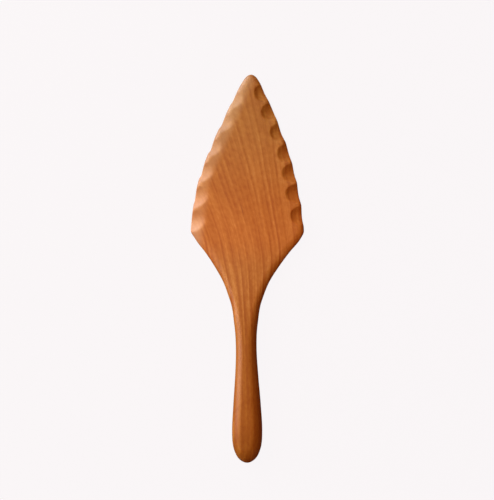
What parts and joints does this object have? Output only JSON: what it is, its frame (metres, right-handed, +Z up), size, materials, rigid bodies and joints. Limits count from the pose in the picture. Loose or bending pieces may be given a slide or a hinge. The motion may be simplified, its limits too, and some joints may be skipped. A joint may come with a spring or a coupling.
{
  "type": "wood edge slicker",
  "caption": "One-piece carved wooden hand tool: flat pointed leaf-shaped blade with hollows gouged along both edges, waisted neck and rounded oval handle.",
  "frame": {"origin": "on the surface the tool lies on, midway along its length and across its width", "axes": "+Y along the tool from the handle to the tip, +Z up out of the carved face, +X to the right when the face is seen with the tip at the top"},
  "size_m": [0.073, 0.25, 0.0162],
  "materials": {
    "cherry_wood": "oiled satin wood with fine straight grain running along the tool"
  },
  "bodies": {
    "root": {"slicker_body": "cherry_wood"}
  },
  "joints": []
}
